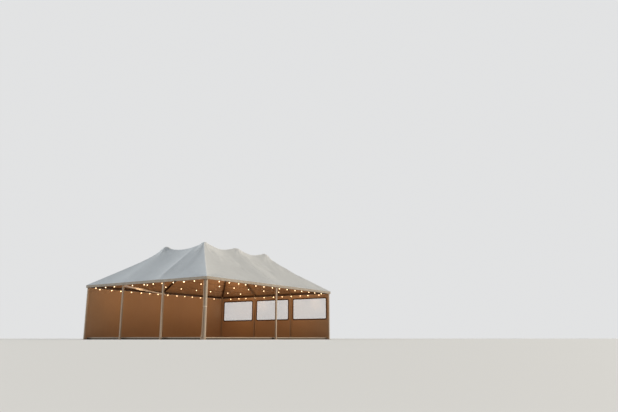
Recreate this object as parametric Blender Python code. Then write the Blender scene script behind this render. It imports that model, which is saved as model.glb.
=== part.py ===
"""A six-peak frame marquee, open on two sides, with a low floor.

Metres, +Z up. The origin is on the ground under the middle of the marquee. X runs along the long
sides and Y across. The front long side and the left short side are open, the back long side has
plain walls, and the right short side has walls with clear windows.
"""

import math

import bmesh
import bpy
from mathutils import Vector

# Plan and heights
TENT_LENGTH = 10.0
TENT_WIDTH = 8.0
FLOOR_HEIGHT = 0.10
EAVE_HEIGHT = 2.50
PEAK_FROM_END = 2.55
PEAK_FROM_SIDE = 2.667

# Roof shape
RAFTER_RISE = 1.73
CONE_HEIGHT = 0.27
CONE_REACH = 0.45
CONE_ROUNDING = 0.05
ROOF_SAG = 0.07
SAG_REACH = 0.35

# Fabric
COVER_THICKNESS = 0.012
COVER_DEPTH = 0.014
VALANCE_DROP = 0.12
WALL_THICKNESS = 0.012
WALL_INSET = 0.060
WALL_GROUND_CLEARANCE = 0.010
PANE_THICKNESS = 0.004

# Windows: the sill is measured up from the floor, the head down from the eave
WINDOW_SILL = 1.00
WINDOW_BELOW_EAVE = 0.32
WINDOW_MARGIN = 0.12

# Frame sections
POST_SIZE = 0.070
HEAD_SIZE = 0.130
FOOT_SIZE = 0.160
FOOT_THICKNESS = 0.010
SEAT_SIZE = 0.096
SEAT_THICKNESS = 0.008
RAIL_WIDTH = 0.060
RAIL_DEPTH = 0.100
RAFTER_WIDTH = 0.060
RAFTER_DEPTH = 0.090
HUB_RADIUS = 0.080
HUB_ABOVE = 0.050
HUB_BELOW = 0.020
MAST_RADIUS = 0.030
MAST_FOOT_RADIUS = 0.028
CAP_RADIUS = 0.050
CAP_TIP_RADIUS = 0.012
CAP_LIP = 0.012
CROWN_SIDES = 8

# Tied-back side curtain
CURTAIN_RADIUS = 0.058
CURTAIN_WAIST = 0.042
CURTAIN_TIE_HEIGHT = 1.35
CURTAIN_MIDWAY = 0.9
CURTAIN_SIDES = 8

# Corner tie between two posts at the back left
TIE_WIDTH = 0.070
TIE_DEPTH = 0.070

# Strings of lights
CORD_DIAMETER = 0.008
CORD_SIDES = 8
CORD_ABOVE_RAIL_FOOT = 0.012
CORD_POINTS_PER_SIDE = 19
CORD_CORNER = 0.060
SWAG_SAG = 0.06
SWAG_POINTS = 25
SWAG_FROM_END = 0.30

# Clearances
GAP = 0.0003
EDGE_CLEARANCE = 0.003

# Places that follow from the sizes
HALF_X = TENT_LENGTH / 2
HALF_Y = TENT_WIDTH / 2
EAVE_Z = FLOOR_HEIGHT + EAVE_HEIGHT
FRAME_INSET = COVER_THICKNESS + EDGE_CLEARANCE
POST_X = HALF_X - FRAME_INSET - HEAD_SIZE / 2
POST_Y = HALF_Y - FRAME_INSET - HEAD_SIZE / 2
PEAK_X = HALF_X - PEAK_FROM_END
PEAK_Y = HALF_Y - PEAK_FROM_SIDE
PEAKS_X = (-PEAK_X, 0.0, PEAK_X)
PEAKS_Y = (-PEAK_Y, PEAK_Y)
SIDE_NAMES = {-1: "front", 1: "back"}
END_NAMES = {-1: "left", 1: "right"}

# Shares of the way from the eave to the first peak, and from a peak to the middle of its bay
SLOPE_STEPS = (0.0, 0.22, 0.42, 0.60, 0.74, 0.84, 0.91, 0.96)
BAY_STEPS = (0.0, 0.09, 0.20, 0.38, 0.64)
GRID_DIGITS = 6

# How many places along a bar are tried when it is set clear of the cover
CLEAR_SAMPLES = 16


def distance_to_segment(point, start, end):
    """The plan distance from a point to a straight line between two points."""
    along = end - start
    share = max(0.0, min(1.0, (point - start).dot(along) / along.length_squared))
    return (point - (start + along * share)).length


def support_lines():
    """The plan lines that hold the cover up: eaves, hips, rafters and purlins."""
    lines = []
    for side in (-1, 1):
        lines.append(((-HALF_X, side * HALF_Y), (HALF_X, side * HALF_Y)))
        lines.append(((side * HALF_X, -HALF_Y), (side * HALF_X, HALF_Y)))
        lines.append(((-PEAK_X, side * PEAK_Y), (PEAK_X, side * PEAK_Y)))
        lines.append(((0.0, side * HALF_Y), (0.0, side * PEAK_Y)))
        for end in (-1, 1):
            peak = (end * PEAK_X, side * PEAK_Y)
            lines.append(((end * HALF_X, side * HALF_Y), peak))
            lines.append(((end * HALF_X, side * PEAK_Y), peak))
    for x in PEAKS_X:
        lines.append(((x, -PEAK_Y), (x, PEAK_Y)))
    return [(Vector(start), Vector(end)) for start, end in lines]


SUPPORTS = support_lines()


def slope_height(x, y):
    """The height of the straight rafters above the eave at a plan point."""
    along_x = (HALF_X - abs(x)) / PEAK_FROM_END
    along_y = (HALF_Y - abs(y)) / PEAK_FROM_SIDE
    return RAFTER_RISE * min(1.0, along_x, along_y)


def cone_height(x, y):
    """How far the crown posts lift the cover above the rafters."""
    total = 0.0
    for peak_x in PEAKS_X:
        for peak_y in PEAKS_Y:
            away = math.hypot(x - peak_x, y - peak_y, CONE_ROUNDING) - CONE_ROUNDING
            total += CONE_HEIGHT * math.exp(-away / CONE_REACH)
    edge = min(HALF_X - abs(x), HALF_Y - abs(y)) / CONE_REACH
    return total * min(1.0, max(0.0, edge))


def sag_depth(x, y):
    """How far the cover hangs below the straight lines between its supports."""
    point = Vector((x, y))
    nearest = min(distance_to_segment(point, start, end) for start, end in SUPPORTS)
    return ROOF_SAG * (1.0 - math.exp(-nearest / SAG_REACH))


def cover_top(x, y):
    return EAVE_Z + slope_height(x, y) + cone_height(x, y) - sag_depth(x, y)


def cover_under(x, y):
    return cover_top(x, y) - COVER_DEPTH


def clear_scene():
    for item in list(bpy.data.objects):
        bpy.data.objects.remove(item, do_unlink=True)


def make_material(name, colour, roughness, metallic=0.0, alpha=1.0):
    material = bpy.data.materials.new(name)
    material.use_nodes = True
    shader = material.node_tree.nodes["Principled BSDF"]
    shader.inputs["Base Color"].default_value = (*colour, 1.0)
    shader.inputs["Roughness"].default_value = roughness
    shader.inputs["Metallic"].default_value = metallic
    shader.inputs["Alpha"].default_value = alpha
    return material


def make_object(name, points, faces, material):
    """A closed mesh object from its corners and faces, with its faces turned outwards."""
    mesh = bpy.data.meshes.new(name)
    work = bmesh.new()
    corners = [work.verts.new(point) for point in points]
    for face in faces:
        work.faces.new([corners[index] for index in face])
    bmesh.ops.recalc_face_normals(work, faces=work.faces[:])
    work.to_mesh(mesh)
    work.free()
    mesh.materials.append(material)
    item = bpy.data.objects.new(name, mesh)
    bpy.context.collection.objects.link(item)
    return item


def box(name, low, high, material):
    points = [(x, y, z) for z in (low[2], high[2]) for y in (low[1], high[1]) for x in (low[0], high[0])]
    faces = [(0, 1, 3, 2), (4, 5, 7, 6), (0, 1, 5, 4), (2, 3, 7, 6), (0, 2, 6, 4), (1, 3, 7, 5)]
    return make_object(name, points, faces, material)


def ring(centre, size, sides):
    """Plan points round a centre. Size is the distance to the flats, and one flat faces +X."""
    reach = size / math.cos(math.pi / sides)
    turns = [math.tau * (index + 0.5) / sides for index in range(sides)]
    return [(centre[0] + reach * math.cos(turn), centre[1] + reach * math.sin(turn)) for turn in turns]


def stack(name, centre, levels, material, sides=4, top=None):
    """A solid of rings on one upright axis. Each level is the distance to the flats and a height.

    Top, if given, is the height of the last ring at each plan point, and the last face is then
    cut along its diagonal that points to the middle of the plan.
    """
    points = []
    for size, height in levels:
        points += [(x, y, height) for x, y in ring(centre, size, sides)]
    last = len(points) - sides
    faces = [tuple(range(sides))]
    for level in range(len(levels) - 1):
        start = level * sides
        for index in range(sides):
            following = (index + 1) % sides
            faces.append((start + index, start + following, start + sides + following, start + sides + index))
    if top is None:
        faces.append(tuple(range(last, last + sides)))
        return make_object(name, points, faces, material)
    points[last:] = [(x, y, top(x, y)) for x, y, _ in points[last:]]
    middle = Vector(centre)
    outer = max(range(sides), key=lambda index: middle.dot(Vector(points[last + index][:2])))
    order = [last + (outer + step) % sides for step in range(sides)]
    for second, third in zip(order[1:], order[2:]):
        faces.append((order[0], second, third))
    return make_object(name, points, faces, material)


def clear_drop(start, end, half_width):
    """How far a bar is lowered so that both its top edges stay under the cover."""
    along = end - start
    across = Vector((-along.y, along.x)).normalized() * half_width
    worst = 0.0
    for index in range(CLEAR_SAMPLES + 1):
        share = index / CLEAR_SAMPLES
        middle = start + along * share
        line = slope_height(*start) * (1.0 - share) + slope_height(*end) * share
        for edge in (middle - across, middle + across):
            worst = max(worst, EAVE_Z + line - COVER_DEPTH - cover_under(*edge))
    return worst + GAP


def bar_top(start, end):
    """The heights of a bar's top at its two ends."""
    drop = COVER_DEPTH + clear_drop(start, end, RAFTER_WIDTH / 2)
    return EAVE_Z + slope_height(*start) - drop, EAVE_Z + slope_height(*end) - drop


def bar(name, start, end, material):
    """A straight bar under the cover, between two plan points, with upright end faces."""
    start, end = Vector(start), Vector(end)
    across = Vector((-(end - start).y, (end - start).x)).normalized() * RAFTER_WIDTH / 2
    points = []
    for place, height in zip((start, end), bar_top(start, end)):
        for edge in (place - across, place + across):
            points += [(edge.x, edge.y, height), (edge.x, edge.y, height - RAFTER_DEPTH)]
    faces = [(0, 1, 3, 2), (4, 5, 7, 6), (0, 2, 6, 4), (1, 3, 7, 5), (0, 1, 5, 4), (2, 3, 7, 6)]
    return make_object(name, points, faces, material)


def hub_reach(direction):
    """The distance from a hub's axis to the end of a bar that meets it from this direction."""
    corners = ring((0.0, 0.0), HUB_RADIUS, CROWN_SIDES)
    return max(corner[0] * direction.x + corner[1] * direction.y for corner in corners) + GAP


def grid_lines(half, peak, from_edge, middle_peak):
    """The cover's mesh lines on one axis, closer together near the peaks."""
    lines = [half - from_edge * share for share in SLOPE_STEPS]
    bay = peak if middle_peak else 2 * peak
    bay_half = bay / 2
    lines += [peak - bay_half * share for share in BAY_STEPS]
    if middle_peak:
        lines.append(bay_half)
        lines += [bay_half * share for share in reversed(BAY_STEPS) if share > 0.0]
    return sorted({round(sign * line, GRID_DIGITS) for line in lines for sign in (-1, 1)} | {0.0})


def plan_triangles(xs, ys):
    """The cover's plan points and triangles. Each cell is cut along its diagonal towards the middle."""
    columns = len(xs)
    points = [(x, y) for y in ys for x in xs]
    triangles = []
    for row in range(len(ys) - 1):
        for column in range(columns - 1):
            corner = row * columns + column
            quad = (corner, corner + 1, corner + columns + 1, corner + columns)
            middle_x = xs[column] + xs[column + 1]
            middle_y = ys[row] + ys[row + 1]
            if middle_x * middle_y <= 0.0:
                quad = quad[1:] + quad[:1]
            triangles.append((quad[0], quad[1], quad[2]))
            triangles.append((quad[0], quad[2], quad[3]))
    return points, triangles


def panel_of(x, y):
    """The name of the roof panel over a plan point. The panels part at the hips and purlins."""
    along_x = (HALF_X - abs(x)) / PEAK_FROM_END
    along_y = (HALF_Y - abs(y)) / PEAK_FROM_SIDE
    if min(along_x, along_y) > 1.0:
        return "top"
    if along_y < along_x:
        return "front" if y < 0.0 else "back"
    return "left" if x < 0.0 else "right"


def clamp(value, limit):
    return max(-limit, min(limit, value))


def inside_panel(panel, x, y):
    """A plan point moved just inside its own panel, clear of the panels beside it."""
    if panel == "top":
        return clamp(x, PEAK_X - GAP / 2), clamp(y, PEAK_Y - GAP / 2)
    if panel in ("front", "back"):
        y = math.copysign(max(abs(y), PEAK_Y + GAP / 2), y)
        share = (HALF_Y - abs(y)) / PEAK_FROM_SIDE
        return clamp(x, HALF_X - PEAK_FROM_END * share - GAP), y
    x = math.copysign(max(abs(x), PEAK_X + GAP / 2), x)
    share = (HALF_X - abs(x)) / PEAK_FROM_END
    return x, clamp(y, HALF_Y - PEAK_FROM_SIDE * share - GAP)


def on_eave(panel, place):
    """Whether a plan point lies on the outer edge of its panel."""
    if panel in ("front", "back"):
        return abs(place[1]) > HALF_Y - GAP
    return panel != "top" and abs(place[0]) > HALF_X - GAP


def border_edges(triangles):
    """The edges that only one triangle uses, each in that triangle's own direction."""
    edges = [(a, b) for face in triangles for a, b in zip(face, face[1:] + face[:1])]
    known = set(edges)
    return [edge for edge in edges if (edge[1], edge[0]) not in known]


def panel_mesh(panel, plan, triangles):
    """The corners and faces of one roof panel, a thin shell with a short valance at the eave."""
    used = sorted({index for face in triangles for index in face})
    order = {index: number for number, index in enumerate(used)}
    triangles = [tuple(order[index] for index in face) for face in triangles]
    outer = [inside_panel(panel, *plan[index]) for index in used]
    inner = []
    for index in used:
        x = clamp(plan[index][0], HALF_X - COVER_THICKNESS)
        y = clamp(plan[index][1], HALF_Y - COVER_THICKNESS)
        inner.append(inside_panel(panel, x, y))
    count = len(used)
    hem = EAVE_Z - VALANCE_DROP
    points = [(x, y, cover_top(x, y)) for x, y in outer]
    points += [(x, y, cover_under(x, y)) for x, y in inner]
    faces = triangles + [tuple(index + count for index in face) for face in triangles]
    hems = {}
    for index in range(count):
        if on_eave(panel, outer[index]):
            hems[index] = (len(points), len(points) + 1)
            points += [(*outer[index], hem), (*inner[index], hem)]
    for start, end in border_edges(triangles):
        if start in hems and end in hems:
            first, last = hems[start], hems[end]
            faces.append((start, end, last[0], first[0]))
            faces.append((start + count, end + count, last[1], first[1]))
            faces.append((first[0], last[0], last[1], first[1]))
            continue
        faces.append((start, end, end + count))
        faces.append((start, end + count, start + count))
        for index in {start, end} & set(hems):
            faces.append((index, hems[index][0], hems[index][1], index + count))
    return points, faces


def make_cover(material):
    """The roof cover in five panels, edge to edge."""
    xs = grid_lines(HALF_X, PEAK_X, PEAK_FROM_END, True)
    ys = grid_lines(HALF_Y, PEAK_Y, PEAK_FROM_SIDE, False)
    plan, triangles = plan_triangles(xs, ys)
    panels = {}
    for face in triangles:
        middle_x = sum(plan[index][0] for index in face) / len(face)
        middle_y = sum(plan[index][1] for index in face) / len(face)
        panels.setdefault(panel_of(middle_x, middle_y), []).append(face)
    for panel, its_triangles in panels.items():
        points, faces = panel_mesh(panel, plan, its_triangles)
        make_object(f"roof_panel_{panel}", points, faces, material)


def rail_top():
    """The height of the eave rails' flat tops, just under the cover at their outer edge."""
    rise = RAFTER_RISE / max(PEAK_FROM_END, PEAK_FROM_SIDE) * FRAME_INSET
    sag = ROOF_SAG * (1.0 - math.exp(-FRAME_INSET / SAG_REACH))
    return EAVE_Z + rise - sag - COVER_DEPTH - GAP


def rail_bottom():
    return rail_top() - RAIL_DEPTH


def foot_levels():
    half = POST_SIZE / 2
    return [(FOOT_SIZE / 2, 0.0), (FOOT_SIZE / 2, FOOT_THICKNESS), (half, FOOT_THICKNESS)]


def make_corner_posts(material):
    for side in (-1, 1):
        for end in (-1, 1):
            levels = foot_levels()
            levels += [(POST_SIZE / 2, rail_bottom()), (HEAD_SIZE / 2, rail_bottom())]
            levels.append((HEAD_SIZE / 2, EAVE_Z))
            name = f"corner_post_{SIDE_NAMES[side]}_{END_NAMES[end]}"
            centre = (end * POST_X, side * POST_Y)
            stack(name, centre, levels, material, top=lambda x, y: cover_under(x, y) - GAP)


def make_side_posts(material):
    """Posts under the middle of each long rail and in line with the peaks under each short rail."""
    places = [(f"middle_post_{SIDE_NAMES[side]}", 0.0, side * POST_Y) for side in (-1, 1)]
    for end in (-1, 1):
        for side in (-1, 1):
            places.append((f"end_post_{END_NAMES[end]}_{SIDE_NAMES[side]}", end * POST_X, side * PEAK_Y))
    seat = rail_bottom() - GAP
    for name, x, y in places:
        levels = foot_levels()
        levels += [(POST_SIZE / 2, seat - SEAT_THICKNESS), (SEAT_SIZE / 2, seat - SEAT_THICKNESS)]
        levels.append((SEAT_SIZE / 2, seat))
        stack(name, (x, y), levels, material)


def make_rails(material):
    """One eave rail a side, between the heads of the corner posts."""
    low, high = rail_bottom(), rail_top()
    head = FRAME_INSET + HEAD_SIZE + GAP
    for side in (-1, 1):
        edges = sorted((side * (HALF_Y - FRAME_INSET), side * (HALF_Y - FRAME_INSET - RAIL_WIDTH)))
        start, end = (-(HALF_X - head), edges[0], low), (HALF_X - head, edges[1], high)
        box(f"eave_rail_{SIDE_NAMES[side]}", start, end, material)
    for side in (-1, 1):
        edges = sorted((side * (HALF_X - FRAME_INSET), side * (HALF_X - FRAME_INSET - RAIL_WIDTH)))
        start, end = (edges[0], -(HALF_Y - head), low), (edges[1], HALF_Y - head, high)
        box(f"eave_rail_{END_NAMES[side]}", start, end, material)


def make_hip_rafters(material):
    head_corner = FRAME_INSET + HEAD_SIZE
    for side in (-1, 1):
        for end in (-1, 1):
            corner = Vector((end * HALF_X, side * HALF_Y))
            peak = Vector((end * PEAK_X, side * PEAK_Y))
            inward = (peak - corner).normalized()
            first = head_corner * (abs(inward.x) + abs(inward.y)) + GAP
            last = (peak - corner).length - hub_reach(-inward)
            name = f"hip_rafter_{SIDE_NAMES[side]}_{END_NAMES[end]}"
            bar(name, corner + inward * first, corner + inward * last, material)


def end_rafter_reach():
    """The distances from the middle of the plan to the two ends of an end rafter."""
    return HALF_X - FRAME_INSET - RAIL_WIDTH - GAP, PEAK_X + HUB_RADIUS + GAP


def make_end_rafters(material):
    first, last = end_rafter_reach()
    for side in (-1, 1):
        for end in (-1, 1):
            name = f"end_rafter_{END_NAMES[end]}_{SIDE_NAMES[side]}"
            bar(name, (end * first, side * PEAK_Y), (end * last, side * PEAK_Y), material)


def make_middle_rafters(material):
    """From the middle of each long rail up to the side of the long purlin."""
    first = HALF_Y - FRAME_INSET - RAIL_WIDTH - GAP
    last = PEAK_Y + RAFTER_WIDTH / 2 + GAP
    for side in (-1, 1):
        bar(f"middle_rafter_{SIDE_NAMES[side]}", (0.0, side * first), (0.0, side * last), material)


def make_purlins(material):
    """Two long purlins under the middle crowns, and three short ones across."""
    along = PEAK_X - HUB_RADIUS - GAP
    for side in (-1, 1):
        bar(f"long_purlin_{SIDE_NAMES[side]}", (-along, side * PEAK_Y), (along, side * PEAK_Y), material)
    reaches = {-PEAK_X: HUB_RADIUS, 0.0: RAFTER_WIDTH / 2, PEAK_X: HUB_RADIUS}
    names = {-PEAK_X: "left", 0.0: "middle", PEAK_X: "right"}
    for x in PEAKS_X:
        across = PEAK_Y - reaches[x] - GAP
        bar(f"cross_purlin_{names[x]}", (x, -across), (x, across), material)


def purlin_top():
    """The height of the long purlins' flat tops."""
    along = PEAK_X - HUB_RADIUS - GAP
    return bar_top(Vector((-along, PEAK_Y)), Vector((along, PEAK_Y)))[0]


def steepest_slope():
    """The steepest that the cover can fall away from a peak."""
    return RAFTER_RISE / min(PEAK_FROM_END, PEAK_FROM_SIDE) + CONE_HEIGHT / CONE_REACH


def make_crowns(material):
    """The short posts that push the cover up. The corner four also join the rafters at a hub."""
    top = purlin_top()
    fall = steepest_slope() / math.cos(math.pi / CROWN_SIDES)
    cap_height = fall * (CAP_RADIUS - CAP_TIP_RADIUS)
    for x, x_name in zip(PEAKS_X, ("left", "middle", "right")):
        for side in (-1, 1):
            tip = cover_under(x, side * PEAK_Y) - fall * CAP_TIP_RADIUS - GAP
            if x == 0.0:
                levels = [(MAST_FOOT_RADIUS, top + GAP)]
            else:
                levels = [(HUB_RADIUS, top - RAFTER_DEPTH - HUB_BELOW), (HUB_RADIUS, top + HUB_ABOVE)]
                levels.append((MAST_RADIUS, top + HUB_ABOVE))
            mast = levels[-1][0]
            levels += [(mast, tip - cap_height - CAP_LIP), (CAP_RADIUS, tip - cap_height - CAP_LIP)]
            levels += [(CAP_RADIUS, tip - cap_height), (CAP_TIP_RADIUS, tip)]
            name = f"crown_post_{SIDE_NAMES[side]}_{x_name}"
            stack(name, (x, side * PEAK_Y), levels, material, sides=CROWN_SIDES)


def make_floor(material):
    edge = FRAME_INSET + HEAD_SIZE / 2 + FOOT_SIZE / 2 + GAP
    low = (-(HALF_X - edge), -(HALF_Y - edge), 0.0)
    box("floor_deck", low, (HALF_X - edge, HALF_Y - edge, FLOOR_HEIGHT), material)


def wall_edges(half):
    """The two faces of a wall on one side, as distances from the middle of the plan."""
    middle = half - WALL_INSET
    return middle - WALL_THICKNESS / 2, middle + WALL_THICKNESS / 2


def make_plain_walls(material):
    near, far = wall_edges(HALF_Y)
    low, high = WALL_GROUND_CLEARANCE, rail_bottom() - GAP - SEAT_THICKNESS - GAP
    first, last = POST_SIZE / 2 + GAP, POST_X - POST_SIZE / 2 - GAP
    for end in (-1, 1):
        span = sorted((end * first, end * last))
        box(f"plain_wall_back_{END_NAMES[end]}", (span[0], near, low), (span[1], far, high), material)


def bay_edges():
    """The clear span of each bay of the right side, between the posts' faces."""
    posts = (-POST_Y, -PEAK_Y, PEAK_Y, POST_Y)
    face = POST_SIZE / 2 + GAP
    return [(start + face, end - face) for start, end in zip(posts, posts[1:])]


def framed_panel(name, x_faces, span, heights, opening, material):
    """A flat wall panel with one window cut through it."""
    points = []
    for x in x_faces:
        for (y_low, y_high), (z_low, z_high) in ((span, heights), opening):
            points += [(x, y_low, z_low), (x, y_high, z_low), (x, y_high, z_high), (x, y_low, z_high)]
    corners = 4
    behind = 2 * corners
    faces = []
    for index in range(corners):
        following = (index + 1) % corners
        for face in (0, behind):
            inner = face + corners
            faces.append((face + index, face + following, inner + following, inner + index))
        for first in (0, corners):
            low, high = first + index, first + following
            faces.append((low, high, high + behind, low + behind))
    return make_object(name, points, faces, material)


def make_window_walls(wall_material, pane_material):
    near, far = wall_edges(HALF_X)
    heights = (WALL_GROUND_CLEARANCE, rail_bottom() - GAP - SEAT_THICKNESS - GAP)
    sill, head = FLOOR_HEIGHT + WINDOW_SILL, EAVE_Z - WINDOW_BELOW_EAVE
    middle = (near + far) / 2
    for span, place in zip(bay_edges(), ("front", "middle", "back")):
        opening = (span[0] + WINDOW_MARGIN, span[1] - WINDOW_MARGIN)
        window = (opening, (sill, head))
        framed_panel(f"window_wall_{place}", (near, far), span, heights, window, wall_material)
        low = (middle - PANE_THICKNESS / 2, opening[0] + GAP, sill + GAP)
        high = (middle + PANE_THICKNESS / 2, opening[1] - GAP, head - GAP)
        box(f"clear_pane_{place}", low, high, pane_material)


def make_curtain(material):
    """The side curtain of the open left end, gathered against the front corner post."""
    top = rail_bottom() - GAP
    reach = CURTAIN_RADIUS / math.cos(math.pi / CURTAIN_SIDES)
    centre_x = -POST_X
    centre_y = -POST_Y + POST_SIZE / 2 + GAP + reach
    levels = [
        (CURTAIN_RADIUS, WALL_GROUND_CLEARANCE),
        (CURTAIN_RADIUS * CURTAIN_MIDWAY, CURTAIN_TIE_HEIGHT / 2),
        (CURTAIN_WAIST, CURTAIN_TIE_HEIGHT),
        (CURTAIN_RADIUS * CURTAIN_MIDWAY, (top + CURTAIN_TIE_HEIGHT) / 2),
        (CURTAIN_RADIUS, top),
    ]
    stack("gathered_curtain", (centre_x, centre_y), levels, material, sides=CURTAIN_SIDES)


def make_corner_tie(material):
    """A level tie from the back end post of the left side to the middle post of the back side."""
    start = Vector((-(POST_X - SEAT_SIZE / 2 - GAP), PEAK_Y))
    end = Vector((0.0, POST_Y - SEAT_SIZE / 2 - GAP))
    along = (end - start).normalized()
    across = Vector((-along.y, along.x)) * TIE_WIDTH / 2
    high = rail_bottom() - GAP
    points = []
    for offset in (-across, across):
        first = start + offset - along * (offset.x / along.x)
        last = end + offset - along * (offset.y / along.y)
        for place in (first, last):
            points += [(place.x, place.y, high), (place.x, place.y, high - TIE_DEPTH)]
    faces = [(0, 1, 3, 2), (4, 5, 7, 6), (0, 2, 6, 4), (1, 3, 7, 5), (0, 1, 5, 4), (2, 3, 7, 6)]
    make_object("corner_tie_back_left", points, faces, material)


def cord(name, points, material):
    """A round cord along a list of points, with closed ends."""
    curve = bpy.data.curves.new(name, "CURVE")
    curve.dimensions = "3D"
    curve.bevel_depth = CORD_DIAMETER / 2
    curve.bevel_resolution = CORD_SIDES // 2 - 2
    curve.use_fill_caps = True
    spline = curve.splines.new("POLY")
    spline.points.add(len(points) - 1)
    for target, point in zip(spline.points, points):
        target.co = (*point, 1.0)
    curve.materials.append(material)
    bpy.context.collection.objects.link(bpy.data.objects.new(name, curve))


def eave_cord_points():
    """The route of the cord clipped under the inner edge of the four rails."""
    inset = FRAME_INSET + RAIL_WIDTH + GAP + CORD_DIAMETER / 2
    height = rail_bottom() + CORD_ABOVE_RAIL_FOOT
    reach_x, reach_y = HALF_X - inset, HALF_Y - inset
    beside_head = FRAME_INSET + HEAD_SIZE + CORD_CORNER
    head_x, head_y = HALF_X - beside_head, HALF_Y - beside_head
    cut_x, cut_y = head_x + CORD_CORNER / 2, head_y + CORD_CORNER / 2
    sides = [
        ((-reach_x, -head_y), (-reach_x, head_y), (-cut_x, cut_y)),
        ((-head_x, reach_y), (head_x, reach_y), (cut_x, cut_y)),
        ((reach_x, head_y), (reach_x, -head_y), (cut_x, -cut_y)),
        ((head_x, -reach_y), (-head_x, -reach_y), None),
    ]
    points = []
    for start, end, corner in sides:
        for index in range(CORD_POINTS_PER_SIDE):
            share = index / (CORD_POINTS_PER_SIDE - 1)
            x = start[0] + (end[0] - start[0]) * share
            y = start[1] + (end[1] - start[1]) * share
            points.append((x, y, height))
        if corner:
            points.append((*corner, height))
    return points


def swag_points(side):
    """The route of a cord that hangs between the undersides of two end rafters."""
    outer, inner = end_rafter_reach()
    high, low = bar_top(Vector((inner, side * PEAK_Y)), Vector((outer, side * PEAK_Y)))
    reach = HALF_X - SWAG_FROM_END
    share = (outer - reach) / (outer - inner)
    height = low + (high - low) * share - RAFTER_DEPTH - CORD_DIAMETER / 2 - GAP
    points = []
    for index in range(SWAG_POINTS):
        along = 2.0 * index / (SWAG_POINTS - 1) - 1.0
        points.append((along * reach, side * PEAK_Y, height - SWAG_SAG * (1.0 - along * along)))
    return points


def make_light_cords(material):
    cord("light_string_eaves", eave_cord_points(), material)
    for side in (-1, 1):
        cord(f"light_string_{SIDE_NAMES[side]}", swag_points(side), material)


def build():
    clear_scene()
    cover = make_material("cover_fabric", (0.78, 0.80, 0.80), 0.55)
    wall = make_material("wall_fabric", (0.72, 0.62, 0.48), 0.60)
    metal = make_material("frame_aluminium", (0.74, 0.72, 0.68), 0.40, metallic=0.8)
    brown = make_material("beam_brown", (0.16, 0.08, 0.03), 0.50)
    clear = make_material("clear_film", (0.85, 0.90, 0.88), 0.10, alpha=0.35)
    timber = make_material("floor_timber", (0.16, 0.11, 0.07), 0.70)
    cable = make_material("light_cord", (0.05, 0.05, 0.05), 0.55)
    make_corner_posts(metal)
    make_side_posts(metal)
    make_rails(brown)
    make_hip_rafters(brown)
    make_end_rafters(brown)
    make_middle_rafters(brown)
    make_purlins(brown)
    make_crowns(brown)
    make_cover(cover)
    make_floor(timber)
    make_plain_walls(wall)
    make_window_walls(wall, clear)
    make_curtain(wall)
    make_corner_tie(metal)
    make_light_cords(cable)


build()
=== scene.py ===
"""The looks of a six-peak frame marquee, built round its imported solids. Metres, +Z up."""

import math
import random

import bmesh
import bpy
import numpy as np
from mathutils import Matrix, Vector, noise


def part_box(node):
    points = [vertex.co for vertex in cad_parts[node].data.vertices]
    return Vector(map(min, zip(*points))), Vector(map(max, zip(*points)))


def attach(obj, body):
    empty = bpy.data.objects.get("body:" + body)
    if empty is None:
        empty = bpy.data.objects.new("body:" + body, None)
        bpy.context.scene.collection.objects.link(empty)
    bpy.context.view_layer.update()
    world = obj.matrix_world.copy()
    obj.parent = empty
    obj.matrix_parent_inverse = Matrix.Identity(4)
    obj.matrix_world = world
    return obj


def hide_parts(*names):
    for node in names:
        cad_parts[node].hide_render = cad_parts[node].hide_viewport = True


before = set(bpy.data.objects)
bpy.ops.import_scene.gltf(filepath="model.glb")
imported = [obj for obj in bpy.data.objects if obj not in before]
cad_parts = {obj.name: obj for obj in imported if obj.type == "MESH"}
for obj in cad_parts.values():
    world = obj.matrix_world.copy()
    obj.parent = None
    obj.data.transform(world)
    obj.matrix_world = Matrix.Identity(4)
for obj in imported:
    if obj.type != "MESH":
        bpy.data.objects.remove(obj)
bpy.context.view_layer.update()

# Sizes of the roof and posts, as the solids have them
HALF_X, HALF_Y = 5.0, 4.0
EAVE_Z = 2.60
PEAK_X, PEAK_Y = 2.45, 1.333
PEAKS = [(x, y) for x in (-PEAK_X, 0.0, PEAK_X) for y in (-PEAK_Y, PEAK_Y)]
RAFTER_RISE = 1.73
CONE_HEIGHT = 0.27
CONE_REACH = 0.45
CONE_ROUNDING = 0.05
ROOF_SAG = 0.07
SAG_REACH = 0.35
VALANCE_DROP = 0.12
POST_HALF = 0.035
POST_FROM_EDGE = 0.080

# Roof mesh
SLOPE_STEPS = 54
BAY_STEPS = 25
CLOSER_AT_PEAKS = 1.3
COVER_THICKNESS = 0.004
VALANCE_ROWS = 4
RIPPLE_DEPTH = 0.008
RIPPLE_LENGTH = 0.42
RIPPLE_FADE = 0.4

# Strings of lights
CORD_DIAMETER = 0.008
SWAG_FROM_END = 0.30
SWAG_SAG = 0.06
SWAG_POINTS = 25
SWAG_LAMP_PITCH = 1.20
EAVE_LAMP_PITCH = 0.65

# The photograph's camera: focal length in pixels of the 618 wide frame, angles in radians
PHOTO_WIDTH = 618
FOCAL_PIXELS = 577.8685
CAMERA_PITCH, CAMERA_YAW = 0.2253, 0.5790
CAMERA_PLACE = (-22.9482, -20.8339, 0.05)
SENSOR = 36.0

SIDES = {"front": -1, "back": 1}


def add_object(name, data):
    item = bpy.data.objects.new(name, data)
    bpy.context.scene.collection.objects.link(item)
    return item


# Camera


def make_camera():
    data = bpy.data.cameras.new("camera")
    data.sensor_width = SENSOR
    data.lens = FOCAL_PIXELS * SENSOR / PHOTO_WIDTH
    data.clip_end = 500.0
    item = add_object("camera", data)
    level = math.cos(CAMERA_PITCH)
    forward = Vector((math.cos(CAMERA_YAW) * level, math.sin(CAMERA_YAW) * level, math.sin(CAMERA_PITCH)))
    item.location = CAMERA_PLACE
    item.rotation_euler = forward.to_track_quat("-Z", "Y").to_euler()
    bpy.context.scene.camera = item


# Shapes: each function returns points and faces, and several are joined into one mesh


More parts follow.
